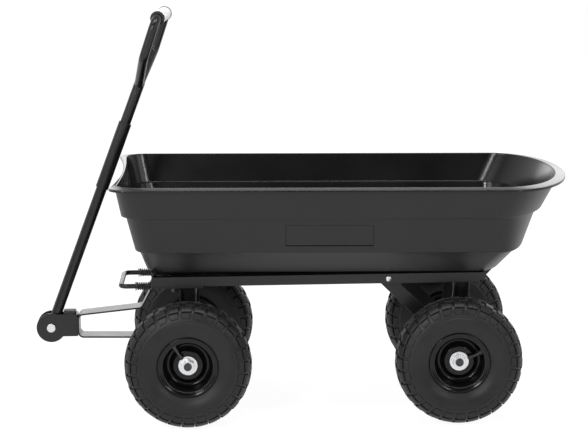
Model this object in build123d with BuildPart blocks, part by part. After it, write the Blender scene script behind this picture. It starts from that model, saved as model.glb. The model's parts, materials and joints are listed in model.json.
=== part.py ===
from build123d import *
import os
from math import cos, radians, sin, tan

# A tipping garden cart: four pneumatic wheels, a steered front axle with a
# folding pull handle, and a stepped poly tray that tips over its rear hinge.
# Millimetres. +X points to the tipping lip, -X to the handle, +Z is up.
# left is the -Y side and right the +Y side, as seen by whoever pulls the cart.

SIDES = ((-1, "left"), (1, "right"))

# ---- wheels: 4.10/3.50-4 pneumatic, 10 inch ----
tyre_radius = 130.0
tyre_width = 85.0
bead_height = 3.0
bead_thick = 8.0
sidewall_radius = 88.0
shoulder_radius = 117.0
shoulder_groove = 112.0
crown_half_width = 27.0
groove_depth = 5.5
cavity_radius = 108.0
lug_count = 28
lug_share = 0.62
rim_flange_radius = 61.0
rim_half_width = 32.0
bead_seat_radius = 51.0
rim_sheet = 2.5
dish_radius = 31.0
dish_out = 8.0
hub_radius = 14.0
hub_outer = 12.0
hub_inner = 48.0
axle_radius = 8.0
running_gap = 0.08
face_gap = 0.3
washer_radius = 19.5
washer_thick = 2.0
nut_across_flats = 24.0
nut_height = 11.0
thread_stub = 4.0

# ---- chassis ----
wheelbase = 551.0
track = 430.0
frame_half_width = 140.0
rail_section = 20.0
rail_wall = 2.0
rail_bottom = 276.0
rail_end_radius = 44.0
front_overlap = 70.0
leg_width = 33.0
leg_sheet = 3.0
rear_leg_back = 12.5
rear_leg_lean = 11.0
axle_beam = 26.0
collar_radius = 12.5
brace_width = 27.0
brace_sheet = 4.0
brace_ahead = 138.0
brace_short = 9.0
bolt_radius = 6.0
bolt_head = 4.0
rear_cross_drop = 16.0
hinge_behind_leg = 26.0
hinge_drop = 7.0
hinge_eye = 7.7
hinge_rod_radius = 6.0
hinge_rod_seat = 10.0
cross_plate = 4.0
cross_plate_back = 30.0
front_plate = 4.0
plate_edge = 3.0
front_plate_waist = 96.0
rest_gap = 0.3
bracket_inset = 36.0
bracket_sheet = 5.0
bracket_radius = 15.0
bracket_ahead = 55.0
bracket_behind = 28.0

# ---- steering head and drawbar ----
kingpin_ahead = 25.0
kingpin_radius = 7.0
head_height = 17.0
head_nose_half = 35.0
thrust_washer = 2.0
thrust_radius = 22.0
strap_width = 52.0
strap_sheet = 3.5
strap_behind_pin = 56.0
strap_crank_top = 79.0
strap_crank_foot = 101.0
strap_upper_back = 209.5
strap_upper_front = 196.0
strap_lower_front = 149.0
strap_corner = 11.0
clevis_reach = 293.0
clevis_height = 168.0
clevis_radius = 31.0
clevis_gap = 27.0
clevis_sheet = 4.0
clevis_pin_radius = 6.0
pin_head = 3.0
stop_rise = 35.0
stop_thick = 11.0

# ---- handle ----
handle_lean = 21.1
tube_foot = 14.0
lower_tube_radius = 11.2
sleeve_radius = 13.5
upper_tube_radius = 11.0
loop_tube_radius = 9.5
sleeve_start = 315.0
sleeve_end = 462.0
fork_start = 545.0
fork_socket = 8.0
loop_set_back = 2.0
loop_twist = 5.6
loop_shoulder = 70.0
loop_height = 153.0
loop_half_width = 78.0
loop_corner = 22.0
grip_radius = 14.0
grip_half_length = 56.0
flange_radius = 15.0
flange_thick = 4.0

# ---- tray ----
tray_pitch = 0.8
tray_wall = 4.5
floor_above_hinge = 8.0
rim_bead = 8.0
rib_inset = 14.0
handle_room = 138.0
rib_thick = 4.0
rib_depth = 12.0
rib_front = 40.0
rib_back = 75.0
# one row per ring of the tub: height over the hinge, step in from the rim's
# front, lip distance behind the hinge, nose length, half width, front corner
# radius, and how far the front wall bows in for the leaning handle
RIM_RING = (200.0, 0.0, 180.0, 125.0, 255.0, 36.0, 16.0)
TIERS = (
    ((192.0, 11.0, 164.0, 123.0, 241.0, 48.0, 6.0), (134.0, 23.0, 132.5, 118.0, 229.0, 48.0, 4.0)),
    ((134.0, 31.5, 120.5, 91.5, 220.0, 47.0, 4.0), (58.0, 50.0, 91.0, 60.0, 202.0, 47.0, 2.0)),
    (
        (58.0, 57.5, 85.0, 56.0, 190.0, 41.0, 2.0),
        (floor_above_hinge, 72.0, 43.5, 55.0, frame_half_width, 40.0, 1.0),
    ),
)

# ---- latch ----
latch_half_width = 75.0
latch_rod_radius = 5.0
latch_drop = 10.0
latch_reach = 146.0
latch_corner = 14.0
latch_tail = 62.0

# ---- derived places ----
pitch_sin = sin(radians(tray_pitch))
pitch_cos = cos(radians(tray_pitch))
lip_behind_hinge = RIM_RING[2] * pitch_cos + RIM_RING[0] * pitch_sin
front_reach = clevis_reach + clevis_radius
strap_reach = clevis_reach - strap_behind_pin
front_to_hinge = wheelbase + rear_leg_back + leg_width / 2 + hinge_behind_leg
tray_front = front_to_hinge + clevis_reach - handle_room
rear_reach = front_to_hinge + lip_behind_hinge
front_x = (front_reach - rear_reach) / 2
rear_x = front_x + wheelbase
axle_z = tyre_radius
hinge_x = front_x + front_to_hinge
rail_top = rail_bottom + rail_section
hinge_z = rail_top - hinge_drop
rail_y = frame_half_width - rail_section / 2
rail_front_x = front_x - front_overlap
half_track = track / 2
hub_end_y = half_track + hub_outer
collar_end_y = half_track - hub_inner - face_gap
washer_y = hub_end_y + face_gap
nut_y = washer_y + washer_thick
axle_end_y = nut_y + nut_height + thread_stub
inner_y = frame_half_width - rail_section
kingpin_x = front_x - kingpin_ahead
head_top = rail_bottom - cross_plate - thrust_washer - face_gap
head_bottom = head_top - head_height
clevis_x = front_x - clevis_reach
latch_height = rail_bottom - latch_drop
tray_plane = Plane(origin=(hinge_x, 0, hinge_z)).rotated((0, tray_pitch, 0))

os.makedirs("parts", exist_ok=True)


def keep(piece, name):
    """Name one finished piece and write it out."""
    piece.label = name
    export_step(piece, f"parts/{name}.step")


def ring_section(ring, shrink=0.0, lift=0.0):
    """One closed ring of the tub: straight sides, rounded front corners, round nose.
    shrink moves it inward by the wall and lift raises it by the floor."""
    height, step_in, behind, nose, half, corner, bow = ring
    x0 = -tray_front + step_in + shrink
    x1 = behind - shrink - nose
    y1 = half - shrink
    r = corner - shrink
    with BuildSketch(tray_plane.offset(height + lift)) as section:
        with BuildLine():
            Line((x0 + r, -y1), (x1, -y1))
            EllipticalCenterArc((x1, 0), nose, y1, start_angle=-90, arc_size=180)
            Line((x1, y1), (x0 + r, y1))
            RadiusArc((x0 + r, y1), (x0, y1 - r), -r)
            ThreePointArc((x0, y1 - r), (x0 + bow, 0), (x0, -y1 + r))
            RadiusArc((x0, -y1 + r), (x0 + r, -y1), -r)
        make_face()
    return section.sketch


def axle_plane(x, side):
    """Sketch plane whose x runs outboard along the axle and whose y is the radius."""
    return Plane(origin=(x, side * half_track, axle_z), x_dir=(0, side, 0), z_dir=(side, 0, 0))


def axle_axis(x):
    return Axis((x, 0, axle_z), (0, 1, 0))


# ---- wheels ----
half_tyre = tyre_width / 2
bead_y = rim_half_width - rim_sheet
bead_top = rim_flange_radius + bead_height
pitch_angle = 360 / lug_count
bead_corner_radius = bead_seat_radius / cos(radians(pitch_angle / 2))


def rim_point(radius, turn):
    """Point of a wheel outline, turn pitches on from the foot."""
    angle = radians(turn * pitch_angle - 90)
    return radius * cos(angle), radius * sin(angle)


def side_ring(plane, y, radius):
    """Flat-sided ring across the tyre, one side to each lug."""
    with BuildSketch(plane.offset(y)) as section:
        with BuildLine():
            Polyline(*[rim_point(radius, k + 0.5) for k in range(lug_count)], close=True)
        make_face()
    return section.sketch


def tread_ring(plane, y, lug_radius, groove_radius):
    """Ring across the tread: a lug, then a groove, all the way round."""
    half = lug_share / 2
    corners = ((-half, groove_radius), (-half, lug_radius), (half, lug_radius), (half, groove_radius))
    with BuildSketch(plane.offset(y)) as section:
        with BuildLine():
            outline = [rim_point(radius, k + turn) for k in range(lug_count) for turn, radius in corners]
            Polyline(*outline, close=True)
        make_face()
    return section.sketch


for x_wheel, axle_name in ((front_x, "front"), (rear_x, "rear")):
    for side, side_name in SIDES:
        plane = axle_plane(x_wheel, side)
        axis = axle_axis(x_wheel)
        tag = f"{axle_name}_{side_name}"

        with BuildPart() as tyre:
            cross = Plane(origin=plane.origin, x_dir=(1, 0, 0), z_dir=(0, -1, 0))
            crown_radius = tyre_radius / cos(radians(lug_share * pitch_angle / 2))
            crown = (crown_half_width, crown_radius, crown_radius - groove_depth)
            shoulder = (half_tyre, shoulder_radius, shoulder_groove)
            tread = [tread_ring(cross, -shoulder[0], *shoulder[1:]), tread_ring(cross, -crown[0], *crown[1:])]
            tread += [tread_ring(cross, crown[0], *crown[1:]), tread_ring(cross, shoulder[0], *shoulder[1:])]
            loft(sections=tread, ruled=True)
            for end in (-1, 1):
                mouth = side_ring(cross, end * bead_y, bead_top)
                flare = side_ring(cross, end * half_tyre, sidewall_radius)
                loft(sections=[mouth, flare], ruled=True, mode=Mode.SUBTRACT)
            bead_ring = side_ring(cross, 0, bead_corner_radius)
            extrude(bead_ring, amount=half_tyre, both=True, mode=Mode.SUBTRACT)
            extrude(
                side_ring(cross, 0, cavity_radius),
                amount=bead_y - bead_thick,
                both=True,
                mode=Mode.SUBTRACT,
            )
        keep(tyre.part, f"tyre_{tag}")

        with BuildPart() as rim:
            with BuildSketch(plane):
                with BuildLine():
                    Polyline(
                        (rim_half_width, rim_flange_radius),
                        (rim_half_width - rim_sheet, rim_flange_radius),
                        (rim_half_width - rim_sheet, bead_seat_radius),
                        (-rim_half_width + rim_sheet, bead_seat_radius),
                        (-rim_half_width + rim_sheet, rim_flange_radius),
                        (-rim_half_width, rim_flange_radius),
                        (-rim_half_width, bead_seat_radius - rim_sheet),
                        (-rim_sheet / 2, bead_seat_radius - rim_sheet),
                        (dish_out - rim_sheet, dish_radius),
                        (dish_out - rim_sheet, hub_radius),
                        (dish_out, hub_radius),
                        (dish_out, dish_radius),
                        (rim_sheet, bead_seat_radius - rim_sheet),
                        (rim_half_width, bead_seat_radius - rim_sheet),
                        close=True,
                    )
                make_face()
            revolve(axis=axis)
        keep(rim.part, f"rim_{tag}")

        with BuildPart() as hub:
            with BuildSketch(plane):
                with Locations(((hub_outer - hub_inner) / 2, (hub_radius + axle_radius + running_gap) / 2)):
                    Rectangle(hub_outer + hub_inner, hub_radius - axle_radius - running_gap)
            revolve(axis=axis)
        keep(hub.part, f"hub_{tag}")

        with BuildPart() as nut:
            with BuildSketch(Plane(origin=(x_wheel, side * washer_y, axle_z), z_dir=(0, side, 0))):
                Circle(washer_radius)
                Circle(axle_radius, mode=Mode.SUBTRACT)
            extrude(amount=washer_thick)
            with BuildSketch(Plane(origin=(x_wheel, side * nut_y, axle_z), z_dir=(0, side, 0))):
                RegularPolygon(nut_across_flats / 2, 6, major_radius=False)
                Circle(axle_radius, mode=Mode.SUBTRACT)
            extrude(amount=nut_height)
        keep(nut.part, f"nut_{tag}")

    with BuildPart() as axle:
        with BuildSketch(Plane(origin=(x_wheel, 0, axle_z), z_dir=(0, 1, 0))):
            Circle(axle_radius)
        extrude(amount=axle_end_y, both=True)
        for side, side_name in SIDES:
            start = Plane(origin=(x_wheel, side * frame_half_width, axle_z), z_dir=(0, side, 0))
            with BuildSketch(start):
                Circle(collar_radius)
            extrude(amount=collar_end_y - frame_half_width)
    keep(axle.part, f"axle_{axle_name}")

    with BuildPart() as beam:
        with BuildSketch(Plane(origin=(x_wheel, 0, axle_z), z_dir=(0, 1, 0))):
            Rectangle(axle_beam, axle_beam)
            Circle(axle_radius, mode=Mode.SUBTRACT)
        extrude(amount=inner_y - brace_sheet, both=True)
    keep(beam.part, f"beam_{axle_name}")

# ---- side rails, rounded at the rear, where the tray hinges ----
rail_end_x = hinge_x + hinge_eye
arc_rise = hinge_z - hinge_eye - rail_bottom
arc_run = (2 * rail_end_radius * arc_rise - arc_rise**2) ** 0.5
arc_start_x = hinge_x - arc_run
for side, side_name in SIDES:
    with BuildPart() as rail:
        with BuildSketch(Plane.XZ.offset(-side * rail_y)):
            with BuildLine():
                Line((rail_front_x, rail_bottom), (arc_start_x, rail_bottom))
                RadiusArc((arc_start_x, rail_bottom), (hinge_x, hinge_z - hinge_eye), -rail_end_radius)
                ThreePointArc(
                    (hinge_x, hinge_z - hinge_eye),
                    (rail_end_x, hinge_z),
                    (hinge_x, hinge_z + hinge_eye),
                )
                Line((hinge_x, hinge_z + hinge_eye), (hinge_x, rail_top))
                Line((hinge_x, rail_top), (rail_front_x, rail_top))
                Line((rail_front_x, rail_top), (rail_front_x, rail_bottom))
            make_face()
        extrude(amount=rail_section / 2, both=True)
        with BuildSketch(Plane.XZ.offset(-side * inner_y)):
            with Locations((hinge_x, hinge_z)):
                Circle(hinge_rod_radius)
        extrude(amount=-side * hinge_rod_seat, mode=Mode.SUBTRACT)
        with BuildSketch(Plane.YZ.offset(rail_front_x)):
            with Locations((side * rail_y, rail_bottom + rail_section / 2)):
                Rectangle(rail_section - 2 * rail_wall, rail_section - 2 * rail_wall)
        extrude(amount=arc_start_x - rail_front_x, mode=Mode.SUBTRACT)
    keep(rail.part, f"rail_{side_name}")

# ---- front and rear legs: channels open to the outside ----
def leg_outline(x_top, x_foot, top, foot, half):
    """Side outline of a leg, wider or narrower by half, as four corner points."""
    return (x_top - half, top), (x_top + half, top), (x_foot + half, foot), (x_foot - half, foot)


leg_foot = axle_z - axle_beam / 2
rear_leg_x = rear_x + rear_leg_back
LEGS = (
    ("rear", rear_leg_x, rear_leg_x - rear_leg_lean, rail_bottom, rear_x),
    ("front", front_x, front_x, head_top, front_x),
)
for leg_name, x_top, x_foot, top, x_axle in LEGS:
    for side, side_name in SIDES:
        with BuildPart() as leg:
            with BuildSketch(Plane.XZ.offset(-side * rail_y)):
                with BuildLine():
                    Polyline(*leg_outline(x_top, x_foot, top, leg_foot, leg_width / 2), close=True)
                make_face()
            extrude(amount=rail_section / 2, both=True)
            with BuildSketch(Plane.XZ.offset(-side * (rail_y + leg_sheet))):
                with BuildLine():
                    inside = leg_outline(x_top, x_foot, top, leg_foot, leg_width / 2 - leg_sheet)
                    Polyline(*inside, close=True)
                make_face()
            extrude(amount=rail_section / 2, both=True, mode=Mode.SUBTRACT)
            with BuildSketch(Plane.XZ.offset(-side * inner_y)):
                with Locations((x_axle, axle_z)):
                    Circle(axle_radius)
            extrude(amount=-side * rail_section, mode=Mode.SUBTRACT)
        keep(leg.part, f"leg_{leg_name}_{side_name}")


# ---- braces, bolted inside the rails and welded to the rear legs ----
brace_run = brace_width / cos(radians(45))
brace_x = rear_x - brace_ahead
brace_end_x = rear_x - brace_short
for side, side_name in SIDES:
    with BuildPart() as brace:
        with BuildSketch(Plane.XZ.offset(-side * (inner_y - brace_sheet))):
            with BuildLine():
                left_x = brace_x - brace_run / 2
                right_x = brace_x + brace_run / 2
                Polyline(
                    (left_x, rail_top),
                    (right_x, rail_top),
                    (right_x, rail_bottom),
                    (brace_end_x, rail_bottom - (brace_end_x - right_x)),
                    (brace_end_x, rail_bottom - (brace_end_x - left_x)),
                    (left_x, rail_bottom),
                    close=True,
                )
            make_face()
        extrude(amount=-side * brace_sheet)
    keep(brace.part, f"brace_{side_name}")

    with BuildPart() as brace_bolt:
        bolt_seat = (brace_x, side * frame_half_width, rail_bottom + rail_section / 2)
        with BuildSketch(Plane(origin=bolt_seat, z_dir=(0, side, 0))):
            Circle(bolt_radius)
        extrude(amount=bolt_head)
    keep(brace_bolt.part, f"brace_bolt_{side_name}")

# ---- cross members ----
with BuildPart() as cross_rear:
    with BuildSketch(Plane.XZ):
        with Locations((rear_leg_x, rail_bottom - rear_cross_drop - rail_section / 2)):
            Rectangle(rail_section, rail_section)
    extrude(amount=inner_y, both=True)
keep(cross_rear.part, "cross_rear")

with BuildPart() as head_plate:
    with BuildSketch(Plane.XY.offset(rail_bottom - cross_plate)):
        with Locations(((rail_front_x + front_x + cross_plate_back) / 2, 0)):
            Rectangle(front_x + cross_plate_back - rail_front_x, 2 * frame_half_width)
        with Locations((kingpin_x, 0)):
            Circle(kingpin_radius, mode=Mode.SUBTRACT)
    extrude(amount=cross_plate)
keep(head_plate.part, "head_plate")

front_plate_x = rail_front_x - front_plate
front_plate_bottom = latch_height - latch_rod_radius - plate_edge
floor_run = (hinge_x - front_plate_x) / pitch_cos
front_plate_top = hinge_z + floor_above_hinge * pitch_cos + floor_run * pitch_sin - rest_gap
with BuildPart() as front_plate_piece:
    with BuildSketch(Plane.YZ.offset(front_plate_x)):
        with BuildLine():
            Polyline(
                (-frame_half_width, rail_bottom),
                (-front_plate_waist, rail_bottom),
                (-front_plate_waist, front_plate_bottom),
                (front_plate_waist, front_plate_bottom),
                (front_plate_waist, rail_bottom),
                (frame_half_width, rail_bottom),
                (frame_half_width, front_plate_top),
                (-frame_half_width, front_plate_top),
                close=True,
            )
        make_face()
        with Locations((-latch_half_width, latch_height), (latch_half_width, latch_height)):
            Circle(latch_rod_radius + running_gap, mode=Mode.SUBTRACT)
    extrude(amount=front_plate)
keep(front_plate_piece.part, "front_plate")

with BuildPart() as hinge_rod:
    with BuildSketch(Plane.XZ):
        with Locations((hinge_x, hinge_z)):
            Circle(hinge_rod_radius)
    extrude(amount=inner_y + hinge_rod_seat, both=True)
keep(hinge_rod.part, "hinge_rod")

# ---- kingpin and thrust washer, fixed to the head plate ----
with BuildPart() as thrust:
    with BuildSketch(Plane.XY.offset(rail_bottom - cross_plate - thrust_washer)):
        with Locations((kingpin_x, 0)):
            Circle(thrust_radius)
            Circle(kingpin_radius, mode=Mode.SUBTRACT)
    extrude(amount=thrust_washer)
keep(thrust.part, "thrust_washer")

strap_z = head_bottom - strap_sheet
kingpin_nut_top = strap_z - face_gap
with BuildPart() as kingpin:
    with BuildSketch(Plane.XY.offset(kingpin_nut_top - nut_height)):
        with Locations((kingpin_x, 0)):
            RegularPolygon(nut_across_flats / 2, 6, major_radius=False)
    extrude(amount=nut_height)
    with BuildSketch(Plane.XY.offset(kingpin_nut_top)):
        with Locations((kingpin_x, 0)):
            Circle(kingpin_radius)
    extrude(amount=rail_bottom - kingpin_nut_top)
    with BuildSketch(Plane.XY.offset(rail_bottom)):
        with Locations((kingpin_x, 0)):
            RegularPolygon(nut_across_flats / 2, 6, major_radius=False)
    extrude(amount=nut_height)
keep(kingpin.part, "kingpin")

# ---- steering head: box beam on the front legs ----
with BuildPart() as head_beam:
    head_back_x = front_x + leg_width / 2
    head_front_x = kingpin_x - thrust_radius
    with BuildSketch(Plane.XY.offset(head_bottom)):
        with Locations((front_x, 0)):
            Rectangle(leg_width, 2 * inner_y)
        with Locations(((head_back_x + head_front_x) / 2, 0)):
            Rectangle(head_back_x - head_front_x, 2 * head_nose_half)
        with Locations((kingpin_x, 0)):
            Circle(kingpin_radius + running_gap, mode=Mode.SUBTRACT)
    extrude(amount=head_height)
keep(head_beam.part, "head_beam")

# ---- drawbar strap: one flat bar bent from the beam round to the head ----
strap_lower_z = axle_z + axle_beam / 2 + strap_sheet / 2
strap_end_x = front_x + axle_beam / 2
strap_front_x = front_x - strap_reach + strap_sheet / 2
with BuildPart() as strap:
    with BuildSketch(Plane.XZ):
        with BuildLine() as strap_path:
            FilletPolyline(
                (strap_end_x, strap_lower_z),
                (front_x - axle_beam / 2, strap_lower_z),
                (strap_front_x, strap_lower_front),
                (strap_front_x, strap_upper_front),
                (front_x - strap_crank_foot, strap_upper_back),
                (front_x - strap_crank_top, head_bottom - strap_sheet / 2),
                (strap_end_x, head_bottom - strap_sheet / 2),
                radius=strap_corner,
            )
        trace(line_width=strap_sheet)
    extrude(amount=strap_width / 2, both=True)
    with BuildSketch(Plane.XY.offset(head_bottom)):
        with Locations((kingpin_x, 0)):
            Circle(kingpin_radius + running_gap)
    extrude(amount=-2 * strap_sheet, mode=Mode.SUBTRACT)
keep(strap.part, "drawbar_strap")

# ---- clevis at the front of the drawbar ----
clevis_back_x = front_x - strap_reach
with BuildPart() as clevis:
    with BuildSketch(Plane.XZ):
        with Locations((clevis_x, clevis_height)):
            Circle(clevis_radius)
        with BuildLine():
            Polyline(
                (clevis_x, strap_lower_front),
                (clevis_back_x, strap_lower_front),
                (clevis_back_x, strap_upper_front),
                (clevis_x, strap_upper_front),
                close=True,
            )
        make_face()
    extrude(amount=clevis_gap / 2 + clevis_sheet, both=True)
    with BuildSketch(Plane.XZ):
        with Locations((clevis_back_x - clevis_sheet - clevis_reach / 2, clevis_height)):
            Rectangle(clevis_reach, 4 * clevis_radius)
    extrude(amount=clevis_gap / 2, both=True, mode=Mode.SUBTRACT)
    with BuildSketch(Plane.XZ):
        with Locations((clevis_x, clevis_height)):
            Circle(clevis_pin_radius)
    extrude(amount=clevis_gap, both=True, mode=Mode.SUBTRACT)
keep(clevis.part, "clevis")

with BuildPart() as clevis_pin:
    with BuildSketch(Plane.XZ):
        with Locations((clevis_x, clevis_height)):
            Circle(clevis_pin_radius)
    extrude(amount=clevis_gap / 2 + clevis_sheet, both=True)
    for side, side_name in SIDES:
        with BuildSketch(Plane.XZ.offset(-side * (clevis_gap / 2 + clevis_sheet))):
            with Locations((clevis_x, clevis_height)):
                Circle(clevis_pin_radius + pin_head)
        extrude(amount=-side * bolt_head)
keep(clevis_pin.part, "clevis_pin")

stop_top = clevis_height + stop_rise
stop_front_x = clevis_x + stop_rise * tan(radians(handle_lean))
stop_front_x += lower_tube_radius / cos(radians(handle_lean)) + face_gap
stop_back_x = clevis_back_x - clevis_sheet
with BuildPart() as handle_stop:
    with BuildSketch(Plane.XZ):
        with Locations(((stop_front_x + stop_back_x) / 2, stop_top - stop_thick / 2)):
            Rectangle(stop_back_x - stop_front_x, stop_thick)
    extrude(amount=clevis_gap / 2, both=True)
keep(handle_stop.part, "handle_stop")

# ---- handle, leaning back against its stop ----
handle_plane = Plane(origin=(clevis_x, 0, clevis_height)).rotated((0, handle_lean, 0))
tube_joint = (sleeve_start + sleeve_end) / 2
with BuildPart() as lower_tube:
    with BuildSketch(handle_plane.offset(-tube_foot)):
        Circle(lower_tube_radius)
    extrude(amount=tube_foot + tube_joint)
    with BuildSketch(Plane.XZ):
        with Locations((clevis_x, clevis_height)):
            Circle(clevis_pin_radius + running_gap)
    extrude(amount=2 * lower_tube_radius, both=True, mode=Mode.SUBTRACT)
keep(lower_tube.part, "handle_tube")

with BuildPart() as sleeve:
    with BuildSketch(handle_plane.offset(sleeve_start)):
        Circle(sleeve_radius)
        Circle(lower_tube_radius, mode=Mode.SUBTRACT)
    extrude(amount=sleeve_end - sleeve_start)
keep(sleeve.part, "handle_sleeve")

# the loop sits a little back from the stick and is turned a little about it
fork_point = handle_plane.origin + handle_plane.z_dir * fork_start
fork_plane = Plane(origin=fork_point)
fork_plane = fork_plane.rotated((0, handle_lean - loop_set_back, 0))
fork_plane = fork_plane.rotated((0, 0, -loop_twist))
loop_plane = Plane(origin=fork_point, x_dir=fork_plane.y_dir, z_dir=fork_plane.x_dir)
with BuildPart() as handle_loop:
    with BuildSketch(handle_plane.offset(tube_joint)):
        Circle(upper_tube_radius)
    extrude(amount=fork_start + fork_socket - tube_joint)
    for side, side_name in SIDES:
        with BuildLine(loop_plane) as loop_path:
            FilletPolyline(
                (0, 0),
                (side * loop_half_width, loop_shoulder),
                (side * loop_half_width, loop_height),
                (0, loop_height),
                radius=loop_corner,
            )
        with BuildSketch(Plane(origin=loop_path.line @ 0, z_dir=loop_path.line % 0)):
            Circle(loop_tube_radius)
        sweep(path=loop_path.line)
keep(handle_loop.part, "handle_loop")

grip_centre = fork_point + fork_plane.z_dir * loop_height
grip_plane = Plane(origin=grip_centre, z_dir=fork_plane.y_dir)
with BuildPart() as grip:
    with BuildSketch(grip_plane):
        Circle(grip_radius)
        Circle(loop_tube_radius, mode=Mode.SUBTRACT)
    extrude(amount=grip_half_length - flange_thick, both=True)
keep(grip.part, "grip")
for side, side_name in SIDES:
    with BuildPart() as grip_ring:
        with BuildSketch(grip_plane.offset(side * (grip_half_length - flange_thick))):
            Circle(flange_radius)
            Circle(loop_tube_radius, mode=Mode.SUBTRACT)
        extrude(amount=side * flange_thick)
    keep(grip_ring.part, f"grip_ring_{side_name}")

# ---- tray: a stepped hollow tub with a rolled rim ----
outer_tiers = [(ring_section(low), ring_section(high)) for high, low in TIERS]
inner_tiers = [
    (ring_section(low, tray_wall, tray_wall), ring_section(high, tray_wall, tray_wall))
    for high, low in TIERS
]
rim_section = ring_section(RIM_RING)
with BuildPart() as tray:
    for lower_section, upper_section in outer_tiers:
        loft(sections=[lower_section, upper_section], ruled=True)
    extrude(rim_section, amount=-rim_bead)
    for lower_section, upper_section in inner_tiers:
        loft(sections=[lower_section, upper_section], ruled=True, mode=Mode.SUBTRACT)
    extrude(inner_tiers[0][1], amount=rim_bead, mode=Mode.SUBTRACT)
    for side, side_name in SIDES:
        rib_origin = Vector(hinge_x, side * (inner_y - rib_inset), hinge_z)
        with BuildSketch(Plane(origin=rib_origin, x_dir=tray_plane.x_dir, z_dir=(0, -1, 0))):
            rib_run = front_to_hinge + rib_front - rib_back
            with Locations((-rib_back - rib_run / 2, floor_above_hinge - (rib_depth - tray_wall / 2) / 2)):
                Rectangle(rib_run, rib_depth + tray_wall / 2)
        extrude(amount=rib_thick / 2, both=True)
keep(tray.part, "tray")

for side, side_name in SIDES:
    bracket_origin = Vector(hinge_x, side * (inner_y - bracket_inset), hinge_z)
    side_plane = Plane(origin=bracket_origin, x_dir=tray_plane.x_dir, z_dir=(0, -1, 0))
    with BuildPart() as bracket:
        with BuildSketch(side_plane):
            with BuildLine():
                eye_side = bracket_radius * sin(radians(45))
                Polyline(
                    (-bracket_ahead, floor_above_hinge),
                    (bracket_behind, floor_above_hinge),
                    (eye_side, -eye_side),
                    (-eye_side, -eye_side),
                    close=True,
                )
            make_face()
            Circle(bracket_radius)
            with Locations((0, floor_above_hinge + bracket_radius)):
                Rectangle(4 * bracket_radius, 2 * bracket_radius, mode=Mode.SUBTRACT)
            Circle(hinge_rod_radius + running_gap, mode=Mode.SUBTRACT)
        extrude(amount=bracket_sheet / 2, both=True)
    keep(bracket.part, f"hinge_bracket_{side_name}")

# ---- latch: a sprung push bar in front of the frame ----
with BuildPart() as latch_bar:
    with BuildLine(Plane.XY.offset(latch_height)) as latch_path:
        FilletPolyline(
            (front_x - latch_tail, -latch_half_width),
            (front_x - latch_reach + latch_rod_radius, -latch_half_width),
            (front_x - latch_reach + latch_rod_radius, latch_half_width),
            (front_x - latch_tail, latch_half_width),
            radius=latch_corner,
        )
    with BuildSketch(Plane(origin=latch_path.line @ 0, z_dir=latch_path.line % 0)):
        Circle(latch_rod_radius)
    sweep(path=latch_path.line)
keep(latch_bar.part, "latch_bar")
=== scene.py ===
# %% [markdown]
# # A tipping garden cart
# This notebook dresses a packed cart: its frame, axles, joints and tub come ready-made,
# each in its real place. Here they get their finish, and the forms that only show up
# close: tyre blocks, rounded mouldings, nuts, springs and bolts. Blender works in
# metres, and a shape's own numbers are in millimetres, times MM. +X points to the
# tipping lip, -X to the pull handle, and the floor is z = 0.

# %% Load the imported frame
import json
from math import atan2, cos, pi, radians, sin

import bmesh
import bpy
from mathutils import Euler, Matrix, Vector


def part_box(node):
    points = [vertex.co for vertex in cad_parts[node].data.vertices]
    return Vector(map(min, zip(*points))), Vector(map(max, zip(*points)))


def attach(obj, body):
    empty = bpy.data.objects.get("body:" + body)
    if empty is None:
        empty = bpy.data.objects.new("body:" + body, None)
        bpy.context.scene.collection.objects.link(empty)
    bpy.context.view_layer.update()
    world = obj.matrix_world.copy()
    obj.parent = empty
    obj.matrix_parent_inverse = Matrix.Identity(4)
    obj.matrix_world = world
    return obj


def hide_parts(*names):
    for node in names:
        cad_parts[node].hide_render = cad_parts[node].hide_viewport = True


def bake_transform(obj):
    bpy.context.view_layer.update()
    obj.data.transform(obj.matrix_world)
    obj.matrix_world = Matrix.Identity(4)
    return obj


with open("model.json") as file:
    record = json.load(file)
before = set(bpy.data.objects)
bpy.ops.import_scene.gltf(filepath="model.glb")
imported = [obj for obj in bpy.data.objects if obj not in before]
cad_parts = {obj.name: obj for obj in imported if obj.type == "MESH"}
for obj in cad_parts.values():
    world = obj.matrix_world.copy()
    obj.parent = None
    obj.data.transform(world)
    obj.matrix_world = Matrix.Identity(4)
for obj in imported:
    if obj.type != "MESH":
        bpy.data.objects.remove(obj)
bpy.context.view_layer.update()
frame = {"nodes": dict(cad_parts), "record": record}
MM = 0.001
SIDES = ((-1, "left"), (1, "right"))
WHEELS = [(end, side, f"{end}_{name}") for end in ("front", "rear") for side, name in SIDES]


def middle(node):
    """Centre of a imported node's box."""
    low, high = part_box(node)
    return (low + high) / 2


front_axle = middle("axle_front")


# %% [markdown]
# ## The camera
# The cart is seen broadside from about five metres away and 1.3 m up, through a long
# lens, so that its lines stay almost parallel. The camera stands a little towards the
# rear from the front axle. Pan, tilt and roll are small turns of a camera that looks
# straight along +Y.

# %% Place the camera
BEHIND_FRONT_AXLE, AWAY, EYE_HEIGHT = 0.17054, 5.3443, 1.31483
SENSOR_MM, LENS_MM = 36.0, 158.1
camera_place = Vector((front_axle.x + BEHIND_FRONT_AXLE, -AWAY, EYE_HEIGHT))
pan, tilt, roll = radians(0.55), radians(-9.86), radians(-0.86)

camera_data = bpy.data.cameras.new("camera")
camera_data.sensor_width = SENSOR_MM
camera_data.lens = LENS_MM
camera = bpy.data.objects.new("camera", camera_data)
turn = Euler((pi / 2 + tilt, 0, -pan)).to_matrix() @ Matrix.Rotation(roll, 3, "Z")
camera.matrix_world = Matrix.Translation(camera_place) @ turn.to_4x4()
bpy.context.scene.collection.objects.link(camera)
bpy.context.scene.camera = camera
print("distance to the cart, m:", round(camera_place.length, 2))

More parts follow.
